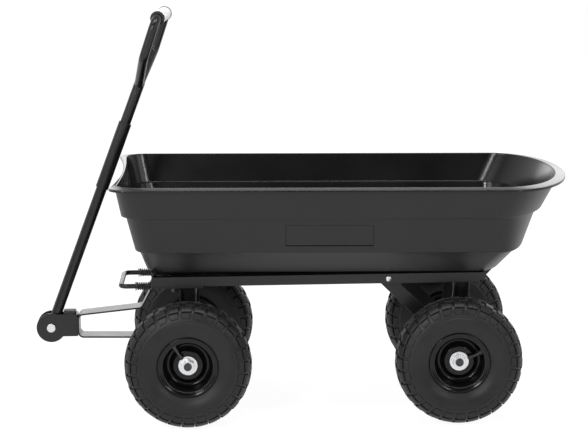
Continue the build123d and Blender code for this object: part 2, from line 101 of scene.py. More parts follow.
# %% [markdown]
# ## Nodes and colours
# Every material below is a small tree of nodes. One helper adds a node, sets its
# sockets and makes its links; another turns a hex colour, as a paint chart gives it,
# into the linear numbers that the renderer works in.

# %% Helpers for materials
def linear(hex_colour):
    """Turn an sRGB hex colour such as 2d2d2e into linear RGBA."""
    channels = [int(hex_colour[i:i + 2], 16) / 255 for i in (0, 2, 4)]
    return [c / 12.92 if c <= 0.04045 else ((c + 0.055) / 1.055) ** 2.4 for c in channels] + [1.0]


def add(tree, kind, inputs=None, **settings):
    """Add one node; an input value may be another node's output socket."""
    node = tree.nodes.new(kind)
    for name, value in settings.items():
        setattr(node, name, value)
    for name, value in (inputs or {}).items():
        if isinstance(value, bpy.types.NodeSocket):
            tree.links.new(value, node.inputs[name])
        else:
            node.inputs[name].default_value = value
    return node


def new_material(name, roughness, metallic=0.0, ior=1.5, coat=0.0, coat_roughness=0.1, mirror=0.5):
    """Start a material with its constant numbers; hand back its tree, shader and place.

    mirror is the share of the reflection that the IOR alone would give, where 0.5 is all of it.
    """
    material = bpy.data.materials.new(name)
    material.use_nodes = True
    tree = material.node_tree
    shader = tree.nodes["Principled BSDF"]
    constants = {"Roughness": roughness, "Metallic": metallic, "IOR": ior,
                 "Coat Weight": coat, "Coat Roughness": coat_roughness, "Specular IOR Level": mirror}
    for socket, value in constants.items():
        shader.inputs[socket].default_value = value
    place = add(tree, "ShaderNodeTexCoord").outputs["Object"]
    return material, tree, shader, place


def noise(tree, place, grain, detail=2.0):
    """Noise whose blobs are about one grain across, in metres."""
    return add(tree, "ShaderNodeTexNoise", {"Vector": place, "Scale": 1 / grain, "Detail": detail})


def blend_colours(tree, shader, factor, low, high, low_at=0.3, high_at=0.7):
    """Colour the shader from one hex to another as a factor rises."""
    ramp = add(tree, "ShaderNodeValToRGB", {"Fac": factor})
    ramp.color_ramp.elements[0].position = low_at
    ramp.color_ramp.elements[1].position = high_at
    ramp.color_ramp.elements[0].color = linear(low)
    ramp.color_ramp.elements[1].color = linear(high)
    tree.links.new(ramp.outputs["Color"], shader.inputs["Base Color"])


def vary_roughness(tree, shader, factor, low, high):
    """Let the roughness wander between two values."""
    spread = add(tree, "ShaderNodeMapRange", {"Value": factor, "To Min": low, "To Max": high})
    tree.links.new(spread.outputs["Result"], shader.inputs["Roughness"])


def bump(tree, shader, height, depth, strength=1.0, under=None):
    """Raise the surface by a height field that is depth metres tall."""
    inputs = {"Height": height, "Distance": depth, "Strength": strength}
    if under:
        inputs["Normal"] = under.outputs["Normal"]
    relief = add(tree, "ShaderNodeBump", inputs)
    tree.links.new(relief.outputs["Normal"], shader.inputs["Normal"])
    return relief


# %% [markdown]
# ## The materials
# A cart like this has few of them. The tub is rotomoulded or injection-moulded black
# polyethylene: waxy, a soft sheen, a fine spark-eroded grain from the mould. The
# chassis is mild steel tube under black powder coat, which flows out glossy with a
# slight orange peel. The rims are dipped in gloss enamel. Nuts and washers are bright
# zinc plate. Tyres are carbon-black rubber with a dusty bloom. Each grain is given as
# its real size, and one that is too fine to show is drawn a little coarser.

# %% Moulded polyethylene for the tub
def polyethylene():
    """Black polyethylene: satin, and glossier where the tub faces up, as most of its inside does."""
    material, tree, shader, place = new_material("moulded_polyethylene", 0.33, ior=1.5, mirror=0.42)
    flow = noise(tree, place, 0.09, 3).outputs["Fac"]
    blend_colours(tree, shader, flow, "101011", "151516")
    facing = add(tree, "ShaderNodeTexCoord").outputs["Normal"]
    upward = add(tree, "ShaderNodeSeparateXYZ", {"Vector": facing}).outputs["Z"]
    satin = add(tree, "ShaderNodeMapRange", {"Value": upward, "From Min": 0.0, "From Max": 0.1,
                                             "To Min": 0.4, "To Max": 0.2}).outputs["Result"]
    wander = add(tree, "ShaderNodeMapRange", {"Value": flow, "To Min": -0.03, "To Max": 0.04})
    sheen = add(tree, "ShaderNodeMath", {0: satin, 1: wander.outputs["Result"]}, operation="ADD")
    tree.links.new(sheen.outputs[0], shader.inputs["Roughness"])
    grain = noise(tree, place, 0.0016).outputs["Fac"]
    waviness = bump(tree, shader, noise(tree, place, 0.12, 1).outputs["Fac"], 0.0003)
    bump(tree, shader, grain, 0.00005, 0.5, waviness)
    return material


# %% Tyre and grip rubber
def tyre_rubber():
    """Carbon-black rubber: matt, with a grey bloom of dust and release agent."""
    material, tree, shader, place = new_material("tyre_rubber", 0.5, ior=1.5, mirror=0.36)
    dust = noise(tree, place, 0.035, 5).outputs["Fac"]
    blend_colours(tree, shader, dust, "0f0f10", "1a1a1a")
    vary_roughness(tree, shader, dust, 0.36, 0.55)
    grain = noise(tree, place, 0.0012).outputs["Fac"]
    bump(tree, shader, grain, 0.00008, 0.7)
    return material


def soft_rubber(name, low, high, roughness):
    """Moulded rubber for the grip, its flanges, the valve caps and the handle's stop."""
    material, tree, shader, place = new_material(name, roughness, ior=1.5)
    mottle = noise(tree, place, 0.008, 3).outputs["Fac"]
    blend_colours(tree, shader, mottle, low, high)
    bump(tree, shader, noise(tree, place, 0.0011).outputs["Fac"], 0.00006, 0.6)
    return material


# %% Coated and plated steel
def powder_coat():
    """Black polyester powder on steel: glossy, with a 2 mm orange peel."""
    material, tree, shader, place = new_material(
        "black_powder_coat", 0.3, ior=1.48, coat=0.1, coat_roughness=0.15, mirror=0.42)
    patch = noise(tree, place, 0.04, 3).outputs["Fac"]
    blend_colours(tree, shader, patch, "0e0e0f", "141415")
    vary_roughness(tree, shader, patch, 0.26, 0.38)
    bump(tree, shader, noise(tree, place, 0.002, 1).outputs["Fac"], 0.00006, 0.6)
    return material


def enamel():
    """Gloss black stoving enamel on the pressed rims."""
    material, tree, shader, place = new_material(
        "gloss_black_enamel", 0.18, ior=1.5, coat=0.1, coat_roughness=0.06, mirror=0.22)
    patch = noise(tree, place, 0.02, 3).outputs["Fac"]
    blend_colours(tree, shader, patch, "0a0a0b", "101011")
    vary_roughness(tree, shader, patch, 0.15, 0.26)
    bump(tree, shader, noise(tree, place, 0.006, 2).outputs["Fac"], 0.00008, 0.5)
    return material


def plated_steel(name, low, high, roughness):
    """Metal whose plating has fine crystal spots, drawn 2.5 mm across so that they show."""
    material, tree, shader, place = new_material(name, roughness, metallic=1.0)
    spangle = noise(tree, place, 0.0025, 4).outputs["Fac"]
    blend_colours(tree, shader, spangle, low, high)
    vary_roughness(tree, shader, spangle, roughness - 0.06, roughness + 0.1)
    bump(tree, shader, noise(tree, place, 0.0012).outputs["Fac"], 0.00003, 0.6)
    return material


FINISHES = {
    "tray_poly": polyethylene(),
    "tyre_rubber": tyre_rubber(),
    "grip_rubber": soft_rubber("grey_grip_rubber", "e4e4e2", "efefed", 0.55),
    "black_rubber": soft_rubber("black_elastomer", "161617", "1e1e1f", 0.5),
    "frame_paint": powder_coat(),
    "gloss_black_paint": enamel(),
    "zinc_steel": plated_steel("bright_zinc_plate", "d2d3d5", "e8e9ea", 0.3),
    "axle_steel": plated_steel("drawn_axle_steel", "3c3d3f", "55565a", 0.42),
}
print("materials:", [finish.name for finish in FINISHES.values()])

# %% [markdown]
# ## Studio
# Black plastic and gloss paint show little but what they mirror, so the room matters
# more than the lamps. The floor and the far side are white, and the space behind the
# viewer is dark: walls that lean down mirror the floor and glow softly, and those that
# lean up stay black. A wide lamp hangs behind the cart. Two softboxes and two narrow
# strips stand in front, left and right, and draw the stripes down the round corners and
# the glints in the wheel dishes. A long one overhead draws the bright lines along the
# rim and the steps inside the tub.

# %% World, floor and lamps
scene = bpy.context.scene
scene.view_settings.view_transform = "Standard"
world = bpy.data.worlds.new("studio")
scene.world = world
world.use_nodes = True
sky = world.node_tree
sky.nodes.clear()
seen = add(sky, "ShaderNodeLightPath").outputs
direct = add(sky, "ShaderNodeMath", {0: seen["Is Camera Ray"], 1: seen["Is Transmission Ray"]},
             operation="MAXIMUM")
heading = add(sky, "ShaderNodeSeparateXYZ", {"Vector": add(sky, "ShaderNodeTexCoord").outputs["Generated"]})
toward_back = add(sky, "ShaderNodeMapRange", {
    "Value": heading.outputs["Y"], "From Min": -0.55, "From Max": 0.1, "To Min": 0.03, "To Max": 0.9})
toward_top = add(sky, "ShaderNodeMapRange", {
    "Value": heading.outputs["Z"], "From Min": 0.3, "From Max": 0.9, "To Min": 1.0, "To Max": 0.45})
glow = add(sky, "ShaderNodeMath", {0: toward_back.outputs["Result"], 1: toward_top.outputs["Result"]},
           operation="MULTIPLY")
room = add(sky, "ShaderNodeBackground", {"Color": (1, 1, 1, 1), "Strength": glow.outputs[0]})
white = add(sky, "ShaderNodeBackground", {"Color": (1, 1, 1, 1), "Strength": 1.0})
mixed = add(sky, "ShaderNodeMixShader", {0: direct.outputs[0], 1: room.outputs[0], 2: white.outputs[0]})
add(sky, "ShaderNodeOutputWorld", {"Surface": mixed.outputs[0]})


def lamp(name, place, aim, width, height, power):
    """Hang one area lamp at a place and point it at another."""
    data = bpy.data.lights.new(name, "AREA")
    data.shape = "RECTANGLE"
    data.size, data.size_y = width, height
    data.energy = power
    thing = bpy.data.objects.new(name, data)
    thing.location = place
    thing.rotation_euler = (Vector(aim) - Vector(place)).to_track_quat("-Z", "Y").to_euler()
    scene.collection.objects.link(thing)


lamp("back_lamp", (0.2, 4.2, 1.5), (0, 0, 0.5), 5.0, 1.4, 32)
lamp("left_lamp", (-3.2, -2.4, 2.0), (0, 0, 0.4), 1.8, 1.8, 36)
lamp("right_lamp", (3.2, -2.4, 2.0), (0, 0, 0.4), 1.6, 1.6, 16)
lamp("left_strip", (-1.7, -4.2, 2.1), (0.3, 0, 0.4), 0.5, 1.4, 70)
lamp("top_strip", (0, -0.9, 2.8), (0, 0, 0.4), 3.0, 0.6, 46)
lamp("right_strip", (2.3, -4.0, 2.1), (-0.2, 0, 0.4), 0.5, 1.2, 34)


# share of the floor that glows where it is looked at, and how strongly
OWN_LIGHT_SHARE, OWN_LIGHT = 0.8, 1.15
FLOOR_HALF_SIZE = 30


def floor_finish():
    """Matt white floor: most of its light is its own, so it stays white and keeps a shadow."""
    material, tree, shader = new_material("white_floor", 0.9)[:3]
    shader.inputs["Base Color"].default_value = linear("fafafa")
    path = add(tree, "ShaderNodeLightPath").outputs
    looked_at = add(tree, "ShaderNodeMath", {0: path["Is Camera Ray"], 1: path["Is Glossy Ray"]},
                    operation="MAXIMUM").outputs[0]
    looked_at = add(tree, "ShaderNodeMath", {0: looked_at, 1: path["Is Transmission Ray"]},
                    operation="MAXIMUM").outputs[0]
    share = add(tree, "ShaderNodeMath", {0: looked_at, 1: OWN_LIGHT_SHARE}, operation="MULTIPLY")
    glow = add(tree, "ShaderNodeEmission", {"Color": (1, 1, 1, 1), "Strength": OWN_LIGHT})
    both = add(tree, "ShaderNodeMixShader", {0: share.outputs[0], 1: shader.outputs[0], 2: glow.outputs[0]})
    tree.links.new(both.outputs[0], tree.nodes["Material Output"].inputs["Surface"])
    return material


floor_mesh = bmesh.new()
bmesh.ops.create_grid(floor_mesh, x_segments=1, y_segments=1, size=FLOOR_HALF_SIZE)
floor_data = bpy.data.meshes.new("floor")
floor_mesh.to_mesh(floor_data)
floor_mesh.free()
floor = bpy.data.objects.new("floor", floor_data)
floor_data.materials.append(floor_finish())
scene.collection.objects.link(floor)

# %% [markdown]
# ## From mesh to piece
# Every finished piece goes through one door: its shading is smoothed by angle and
# evened, its finish is given, and it is told which body it moves with.

# %% Helpers for pieces
def set_piece(mesh, name, body, finish, smooth=35, instead_of=()):
    """Turn a bmesh into a named object with a finish, riding on a body; given two bodies, it is left fixed
    in place on neither.
    """
    data = bpy.data.meshes.new(name)
    mesh.to_mesh(data)
    mesh.free()
    data.shade_smooth()
    data.set_sharp_from_angle(angle=radians(smooth))
    piece = bpy.data.objects.new(name, data)
    piece.data.materials.append(FINISHES[finish])
    shading = piece.modifiers.new("even_shading", "WEIGHTED_NORMAL")
    shading.keep_sharp = True
    bpy.context.scene.collection.objects.link(piece)
    if isinstance(body, tuple):
        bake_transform(piece)
    else:
        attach(piece, body)
    if instead_of:
        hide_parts(*instead_of)
    return piece


def copied(node):
    """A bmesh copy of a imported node, its loose triangles joined and its flats cleared."""
    mesh = bmesh.new()
    mesh.from_mesh(frame["nodes"][node].data)
    bmesh.ops.remove_doubles(mesh, verts=mesh.verts, dist=0.00002)
    bmesh.ops.dissolve_limit(mesh, angle_limit=radians(1), verts=mesh.verts, edges=mesh.edges)
    return mesh


def soften(mesh, width, least=40, segments=2):
    """Round every edge sharper than least degrees."""
    edges = [e for e in mesh.edges if e.is_manifold and e.calc_face_angle(0) > radians(least)]
    bmesh.ops.bevel(mesh, geom=edges, offset=width, affect="EDGES", segments=segments,
                    profile=0.5, material=-1, clamp_overlap=True)


def lathe(points, centre, axis, steps=48, ring=False):
    """Spin a line of (along, out) points round an axis through a centre."""
    mesh = bmesh.new()
    along = Vector(axis).normalized()
    out = along.orthogonal().normalized()
    verts = [mesh.verts.new(Vector(centre) + along * a + out * r) for a, r in points]
    pairs = list(zip(verts, verts[1:])) + ([(verts[-1], verts[0])] if ring else [])
    edges = [mesh.edges.new(pair) for pair in pairs]
    bmesh.ops.spin(mesh, geom=verts + edges, cent=centre, axis=along, angle=2 * pi, steps=steps,
                   use_merge=True)
    bmesh.ops.remove_doubles(mesh, verts=mesh.verts, dist=0.000005)
    bmesh.ops.recalc_face_normals(mesh, faces=mesh.faces)
    return mesh


def body_of(node):
    """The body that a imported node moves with."""
    return next(name for name, nodes in frame["record"]["behaviour"]["bodies"].items() if node in nodes)


slots = {entry["node"]: entry["material_slot"] for entry in frame["record"]["subparts"]}
for node, thing in frame["nodes"].items():
    thing.data.materials.clear()
    thing.data.materials.append(FINISHES[slots[node]])
print("packed nodes dressed:", len(slots))

# %% [markdown]
# ## Steel with soft edges
# Rolled and folded steel never has a knife edge: a square tube turns through a small
# radius, and powder coat rounds what is left. That thin round catches the light and
# draws the edges of a black frame. Each packed steel piece that has sharp edges, and the
# handle's rubber stop with them, is copied. Its triangles are joined into clean faces,
# and its edges get a bevel of about the radius that such a piece has.

# %% Round the edges of the steel
EDGE_RADII = {
    "rail": 1.8, "leg": 0.7, "brace_l": 0.6, "brace_r": 0.6, "cross_rear": 1.8, "head_plate": 0.8,
    "front_plate": 0.8, "beam": 1.8, "head_beam": 1.5, "hinge_bracket": 0.8, "handle_stop": 2.5,
    "clevis": 0.9, "drawbar_strap": 0.7, "thrust_washer": 0.4, "nut": 0.5,
    "handle_tube": 0.6, "handle_sleeve": 0.9, "hinge_rod": 0.8, "axle": 0.8, "hub": 1.0,
}
for node in sorted(frame["nodes"]):
    match = [radius for start, radius in EDGE_RADII.items() if node.startswith(start)]
    if match and node != "clevis_pin":
        steel = copied(node)
        soften(steel, match[-1] * MM)
        set_piece(steel, "soft_" + node, body_of(node), slots[node], instead_of=[node])

# %% [markdown]
# ## Tyres
# The tyre is a fat 4.10/3.50-4: a rounded carcass whose sidewalls bulge past the rim,
# with 28 blocks a side wrapped over the shoulder and two staggered rows along the
# crown. The carcass is a line spun round the axle. A block is a short piece of a
# slightly larger spin, thickened inward so that it sinks into the carcass, bevelled,
# and then spun again as copies.

# %% Sizes of the wheel
LUGS = 28
PITCH = 2 * pi / LUGS
tyre_low, tyre_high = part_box("tyre_front_left")
half_width = (tyre_high.y - tyre_low.y) / 2
tyre_radius = (tyre_high.z - tyre_low.z) / 2
# (across, out) in mm, from the bead over one sidewall to the middle of the crown
SIDEWALL = [
    (29.5, 51.2), (29.5, 61.3), (31.2, 63.4), (33.6, 63.6), (34.8, 65.8), (37.6, 70), (40, 76), (41.6, 83),
    (42.1, 88.5), (42.1, 94), (41.5, 94.7), (41.4, 97.3), (41.7, 98), (41, 101), (39.7, 105), (37.6, 110),
    (34.4, 115), (30.2, 119), (25, 121.8), (18, 123.8), (9, 125.6), (0, 126.4),
]
CAVITY = [(21.5, 51.2), (21.5, 62), (30, 70), (35, 84), (34, 100), (26, 112), (12, 116)]
SIDE_BLOCK = [(38.5, 115.2), (40.9, 110), (42.2, 104)]
SHOULDER_BLOCK = [(23.5, 126.4), (29.5, 124.0), (34.0, 120.8), (36.8, 117.4)]
CROWN_BLOCK = [(3.0, 130.0), (11, 129.2), (20, 127.3)]
BLOCK_EDGE = 0.9
print("tyre, mm:", round(2 * tyre_radius / MM), "by", round(2 * half_width / MM))
print("blocks a side:", LUGS)


# %% One tyre
def block_row(mesh, profile, centre, side, turn, share, sink):
    """Add one row of tread blocks: spin a line a little way, thicken, bevel, repeat."""
    block = bmesh.new()
    start = Matrix.Rotation(turn - share * PITCH / 2, 3, "Y")
    verts = [block.verts.new(start @ Vector((0, side * y * MM, -r * MM))) for y, r in profile]
    edges = [block.edges.new(pair) for pair in zip(verts, verts[1:])]
    bmesh.ops.spin(block, geom=verts + edges, cent=(0, 0, 0), axis=(0, 1, 0), angle=share * PITCH, steps=2)
    for face in block.faces:
        if face.normal.dot(face.calc_center_median()) < 0:
            face.normal_flip()
    bmesh.ops.solidify(block, geom=block.faces[:], thickness=sink * MM)
    bmesh.ops.recalc_face_normals(block, faces=block.faces)
    soften(block, BLOCK_EDGE * MM, least=50, segments=1)
    whole = block.verts[:] + block.edges[:] + block.faces[:]
    bmesh.ops.spin(block, geom=whole, cent=(0, 0, 0), axis=(0, 1, 0), angle=2 * pi - PITCH,
                   steps=LUGS - 1, use_duplicate=True)
    bmesh.ops.translate(block, verts=block.verts, vec=centre)
    data = bpy.data.meshes.new("row")
    block.to_mesh(data)
    block.free()
    mesh.from_mesh(data)
    bpy.data.meshes.remove(data)


def mirrored(points):
    """The same line on the tyre's other side, run backwards."""
    return [(-y, r) for y, r in reversed(points)]


CAVITY_BACK = [(-y, r) for y, r in CAVITY] + mirrored([(-y, r) for y, r in CAVITY])
# share of the pitch that a block fills, and how far it sinks into the carcass, in mm
SIDE_SHARE, SHOULDER_SHARE, CROWN_SHARE = 0.72, 0.8, 0.62
SIDE_SINK, TREAD_SINK = 4, 6
# how far a row is turned from the shoulder blocks, as a share of the pitch
SIDE_TURN, CROWN_TURN = 0.06, 0.25


def build_tyre(node):
    """A tyre in the place of a packed one."""
    centre = middle(node)
    profile = SIDEWALL + mirrored(SIDEWALL[:-1]) + CAVITY_BACK
    mesh = lathe([(y * MM, r * MM) for y, r in profile], centre, (0, 1, 0), steps=4 * LUGS, ring=True)
    for side in (-1, 1):
        crown_turn = (side * CROWN_TURN + 0.5) * PITCH
        block_row(mesh, SIDE_BLOCK, centre, side, SIDE_TURN * side * PITCH, SIDE_SHARE, SIDE_SINK)
        block_row(mesh, SHOULDER_BLOCK, centre, side, 0, SHOULDER_SHARE, TREAD_SINK)
        block_row(mesh, CROWN_BLOCK, centre, side, crown_turn, CROWN_SHARE, TREAD_SINK)
    return mesh


for end, side, tag in WHEELS:
    rubber = build_tyre(f"tyre_{tag}")
    print(f"tyre_{tag}:", len(rubber.faces), "faces")
    set_piece(rubber, f"rubber_{tag}", f"wheel_{tag}", "tyre_rubber", smooth=28, instead_of=[f"tyre_{tag}"])


# %% [markdown]
# ## Rims and valves
# The rims are pressed from 2.5 mm sheet and dipped in gloss enamel. The lip is rolled
# outward over the bead, a deep well carries the beads over it in fitting, and the disc
# rises again to the hub. One closed line, spun, gives both faces of the sheet. The
# valve leaves the well at a slant, with its cap near the hub.

# %% Rims
RIM_FRONT = [
    (30.6, 61.0), (31.6, 60.9), (32.0, 60.0), (31.8, 58.6), (30.9, 57.4), (30.4, 56.0),
    (30.3, 54.2), (29.6, 52.8), (28.0, 51.8), (24, 50.9), (18, 49.8), (12, 48.8),
    (6, 47.6), (1.6, 45.8), (-0.8, 43.0), (-1.5, 40.0), (-0.7, 36.8),
    (1.8, 34.0), (5.4, 32.0), (8.4, 31.0), (9.8, 30.2), (10.2, 28.8), (10.2, 24), (10.0, 14.1),
]
RIM_BACK = [
    (7.5, 14.1), (7.7, 26.5), (6.6, 28.4), (3.4, 30.0), (-0.2, 32.2), (-3.1, 35.6),
    (-4.1, 39.8), (-3.4, 44.2), (-5.5, 47.4), (-9, 48.6), (-21, 49.6), (-25.5, 52.2),
    (-29, 55.6), (-31.9, 58.9), (-32.0, 60.0), (-31.6, 60.9), (-30.6, 61.0), (-29.6, 60.4),
    (-29.5, 58.5), (-26, 55.2), (-20, 51.6), (-8, 50.9), (8, 50.9), (20, 51.9),
    (26, 54.2), (29.2, 57.2), (29.6, 60.4),
]
RIM_STEPS = 96
# where each valve has stopped, in degrees from +X
VALVES = {"front_left": 125, "rear_left": 22, "front_right": 40, "rear_right": 150}
for end, side, tag in WHEELS:
    centre = middle(f"rim_{tag}")
    line = [(y * MM, r * MM) for y, r in RIM_FRONT + RIM_BACK]
    sheet = lathe(line, centre, (0, side, 0), steps=RIM_STEPS, ring=True)
    set_piece(sheet, f"enamelled_rim_{tag}", f"wheel_{tag}", "gloss_black_paint", smooth=50,
              instead_of=[f"rim_{tag}"])


# %% Valves
# out from the axle and along it, in mm
VALVE_FOOT, VALVE_TIP = (48.5, 14), (18.5, 22)


def valve(tag, side, degrees):
    """Stem and cap of one valve, turned to its place on the rim."""
    centre = middle(f"rim_{tag}")
    outward = Vector((cos(radians(degrees)), 0, sin(radians(degrees))))
    foot = centre + outward * VALVE_FOOT[0] * MM + Vector((0, side * VALVE_FOOT[1] * MM, 0))
    tip = centre + outward * VALVE_TIP[0] * MM + Vector((0, side * VALVE_TIP[1] * MM, 0))
    line = tip - foot
    length = line.length / MM
    stem = [(0, 5.6), (2.5, 5.4), (4.5, 4.2), (12, 3.6), (length - 9, 3.2), (length - 9, 0)]
    cap = [(length - 10, 0), (length - 10, 4.0), (length - 9.4, 4.4), (length - 1.5, 4.2),
           (length - 0.4, 3.2), (length, 0)]
    for name, outside, finish in (("valve_stem", stem, "axle_steel"), ("valve_cap", cap, "black_rubber")):
        part = lathe([(a * MM, r * MM) for a, r in outside], foot, line, steps=20)
        set_piece(part, f"{name}_{tag}", f"wheel_{tag}", finish)


for end, side, tag in WHEELS:
    valve(tag, side, VALVES[tag])
print("valves:", VALVES)

# %% [markdown]
# ## The tub
# The tub is one moulding of black polyethylene with an even wall of 4.5 mm. Its sides
# go out in two steps, its back end runs out into a long round nose to tip over, and its
# rim is rolled for stiffness. A wall could be thickened by an operator, but here each
# level is drawn as its own closed outline: a corner is a vertex spun through a quarter
# turn and the nose is one spun through a half turn, then squeezed into an ellipse. The
# outlines are bridged one to the next, up the outside, over the rim and down the
# inside, and the steps between them are bevelled like the radii of a mould.

# %% Levels of the tub, in mm from the hinge
TUB_WALL = 4.5
TUB_FRONT = 761
TUB_TILT_DEGREES = 0.8
# height, step in from the front, reach behind, nose length, half width, corner, bow
RIM = (200, 0, 180, 125, 255, 36, 16)
UPPER_TOP, UPPER_FOOT = (192, 11, 164, 123, 241, 48, 6), (134, 23, 132.5, 118, 229, 48, 4)
MIDDLE_TOP, MIDDLE_FOOT = (134, 31.5, 120.5, 91.5, 220, 47, 4), (58, 50, 91, 60, 202, 47, 2)
LOWER_TOP, LOWER_FOOT = (58, 57.5, 85, 56, 190, 41, 2), (8, 72, 43.5, 55, 140, 40, 1)
NOSE_STEPS, CORNER_STEPS, FRONT_STEPS = 48, 10, 12
hinge = Vector(next(j for j in frame["record"]["behaviour"]["joints"] if j["name"] == "tray_tip")["pos_m"])
tub_tilt = Matrix.Rotation(radians(TUB_TILT_DEGREES), 4, "Y")
tub_place = Matrix.Translation(hinge) @ tub_tilt @ Matrix.Scale(MM, 4)
print("hinge, mm:", [round(c / MM, 1) for c in hinge])


# %% One outline
def swing(mesh, vert, centre, angle, steps):
    """Carry a vertex round an upright axis; hand back where the line ends."""
    made = bmesh.ops.spin(mesh, geom=[vert], cent=(*centre, vert.co.z), axis=(0, 0, 1),
                          angle=angle, steps=steps)
    return made["geom_last"][0]


def outline(mesh, row, inward=0.0, lift=0.0):
    """Draw one closed level of the tub and hand back its edges."""
    height, step_in, behind, nose, half, corner, bow = row
    level = height + lift
    front = step_in + inward - TUB_FRONT
    foot, wide, r = behind - inward - nose, half - inward, corner - inward
    reach = wide - r
    sweep = (bow ** 2 + reach ** 2) / (2 * bow)
    old = set(mesh.verts)
    start = mesh.verts.new((foot, -wide, level))
    end = swing(mesh, start, (foot, 0), pi, NOSE_STEPS)
    for vert in set(mesh.verts) - old:
        vert.co.x = foot + (vert.co.x - foot) * nose / wide
    corner_start = mesh.verts.new((front + r, wide, level))
    mesh.edges.new((end, corner_start))
    end = swing(mesh, corner_start, (front + r, reach), pi / 2, CORNER_STEPS)
    end = swing(mesh, end, (front + bow - sweep, 0), -2 * atan2(reach, sweep - bow), FRONT_STEPS)
    end = swing(mesh, end, (front + r, -reach), pi / 2, CORNER_STEPS)
    mesh.edges.new((end, start))
    return [edge for edge in mesh.edges if not old & set(edge.verts)]


# %% Bridge the levels and round the steps
# each level: row, inward, lift, radius of its edge
LEVELS = [
    (LOWER_FOOT, 0, 0, 4), (LOWER_TOP, 0, 0, 2.5), (MIDDLE_FOOT, 0, 0, 3), (MIDDLE_TOP, 0, 0, 2.5),
    (UPPER_FOOT, 0, 0, 3), (UPPER_TOP, 0, 0, 1.5), (RIM, 0, -8, 2), (RIM, 0, -3.5, 2.2),
    (UPPER_TOP, TUB_WALL, 8, 2.6), (UPPER_TOP, TUB_WALL, TUB_WALL, 0),
    (UPPER_FOOT, TUB_WALL, TUB_WALL, 2.5), (MIDDLE_TOP, TUB_WALL, TUB_WALL, 6),
    (MIDDLE_FOOT, TUB_WALL, TUB_WALL, 6), (LOWER_TOP, TUB_WALL, TUB_WALL, 5),
    (LOWER_FOOT, TUB_WALL, TUB_WALL, 7),
]
tub = bmesh.new()
rings = [outline(tub, *level[:3]) for level in LEVELS]
for lower, upper in zip(rings, rings[1:]):
    bmesh.ops.bridge_loops(tub, edges=lower + upper)
for floor_ring in (rings[0], rings[-1]):
    bmesh.ops.contextual_create(tub, geom=floor_ring)
bmesh.ops.recalc_face_normals(tub, faces=tub.faces)
for ring, level in zip(rings, LEVELS):
    if level[3]:
        edges = [edge for edge in ring if edge.is_valid]
        bmesh.ops.bevel(tub, geom=edges, offset=level[3], affect="EDGES", segments=3, profile=0.5,
                        material=-1, clamp_overlap=True)
print("tub:", len(tub.faces), "faces")


# %% [markdown]
# A shallow panel is sunk into each side of the middle tier, where such a tub may carry
# a label. It stays bare. Four straight cuts mark it out on the flat of the wall, and the
# face is inset and pushed in.

# %% Sunk panels
PANEL_X = (-406.5, -225)
PANEL_Z = (73, 120.5)
PANEL_BORDER, PANEL_SINK = 1.2, 1.6
# where the flat of the middle tier's wall lies, and how squarely it faces sideways
WALL_OUT, WALL_X, WALL_Z, WALL_FACING = 203, (-600, 0), (60, 132), 0.9


def cut(mesh, faces, place, facing):
    """Cut a set of faces along a plane."""
    parts = {part for face in faces for part in (face, *face.edges, *face.verts)}
    bmesh.ops.bisect_plane(mesh, geom=list(parts), dist=0.0001, plane_co=place, plane_no=facing)


def wall_faces(mesh, side):
    """Flat faces of the middle tier's outside on one side of the tub."""
    found = []
    for face in mesh.faces:
        at = face.calc_center_median()
        outside = side * at.y > WALL_OUT and side * face.normal.y > WALL_FACING
        if outside and WALL_X[0] < at.x < WALL_X[1] and WALL_Z[0] < at.z < WALL_Z[1]:
            found.append(face)
    return found


for side, tag in SIDES:
    for x in PANEL_X:
        cut(tub, wall_faces(tub, side), (x, 0, 0), (1, 0, 0))
    for z in PANEL_Z:
        cut(tub, wall_faces(tub, side), (0, 0, z), (0, 0, 1))
    panel = [face for face in wall_faces(tub, side)
             if PANEL_X[0] < face.calc_center_median().x < PANEL_X[1]
             and PANEL_Z[0] < face.calc_center_median().z < PANEL_Z[1]]
    print("panel", tag, "faces:", len(panel))
    bmesh.ops.inset_region(tub, faces=panel, thickness=PANEL_BORDER, depth=0.0, use_even_offset=True)
    bmesh.ops.inset_region(tub, faces=panel, thickness=PANEL_SINK, depth=-PANEL_SINK, use_even_offset=True)

bmesh.ops.transform(tub, matrix=tub_place, verts=tub.verts)
set_piece(tub, "moulded_tub", "tray", "tray_poly", smooth=40, instead_of=["tray"])


# %% Ribs under the floor
RIB_START, RIB_END, RIB_ACROSS, RIB_THICK, RIB_TALL = -75, -673, 106, 4, 12
RIB_MIDDLE_HEIGHT, RIB_EDGE = 3, 1
for side, tag in SIDES:
    rib = bmesh.new()
    bmesh.ops.create_cube(rib, size=1)
    bmesh.ops.scale(rib, vec=(RIB_START - RIB_END, RIB_THICK, RIB_TALL), verts=rib.verts)
    rib_middle = ((RIB_START + RIB_END) / 2, side * RIB_ACROSS, RIB_MIDDLE_HEIGHT)
    bmesh.ops.translate(rib, vec=rib_middle, verts=rib.verts)
    soften(rib, RIB_EDGE)
    bmesh.ops.transform(rib, matrix=tub_place, verts=rib.verts)
    set_piece(rib, f"tub_rib_{tag}", "tray", "tray_poly")

# %% [markdown]
# ## Fittings of the frame
# The kingpin is a bolt with a black head on the top plate and a plain steel nut under
# the head beam: the imported pin is cut in two inside the beam, where the cut is hidden.
# The head's black frame coat is painted shade, to keep it dark in the shaded gap
# between the rail and the tub. Each brace is held by a bolt with a domed head, turned
# from a line.

# %% Kingpin, clevis pin and brace bolts
KINGPIN_EDGE, CLEVIS_PIN_EDGE = 0.5, 0.6
def turned(points, foot, axis, name, body, finish, steps=32, instead_of=(), smooth=35):
    """Spin a line given in mm and keep it as a piece."""
    mesh = lathe([(a * MM, r * MM) for a, r in points], foot, axis, steps=steps)
    return set_piece(mesh, name, body, finish, smooth=smooth, instead_of=instead_of)


